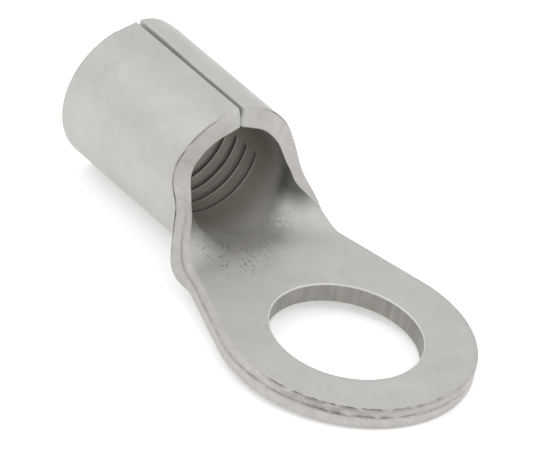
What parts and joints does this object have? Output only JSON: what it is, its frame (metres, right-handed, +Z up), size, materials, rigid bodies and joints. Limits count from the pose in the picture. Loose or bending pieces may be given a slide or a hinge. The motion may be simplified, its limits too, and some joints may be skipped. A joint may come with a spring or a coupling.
{
  "type": "non-insulated ring terminal",
  "caption": "Stamped ring terminal with a rolled, seamed wire barrel, crimped on to a bare cable end and clamped under a nut on a stud.",
  "frame": {"origin": "centre of the stud hole on the ring's underside", "axes": "+Z up through the stud hole, +X from the wire barrel towards the ring's tip, so the cable leaves along -X"},
  "size_m": [0.0363, 0.018, 0.0117],
  "materials": {
    "tin_plate": "matte tin plating on copper sheet"
  },
  "bodies": {
    "root": {"terminal": "tin_plate"}
  },
  "joints": []
}
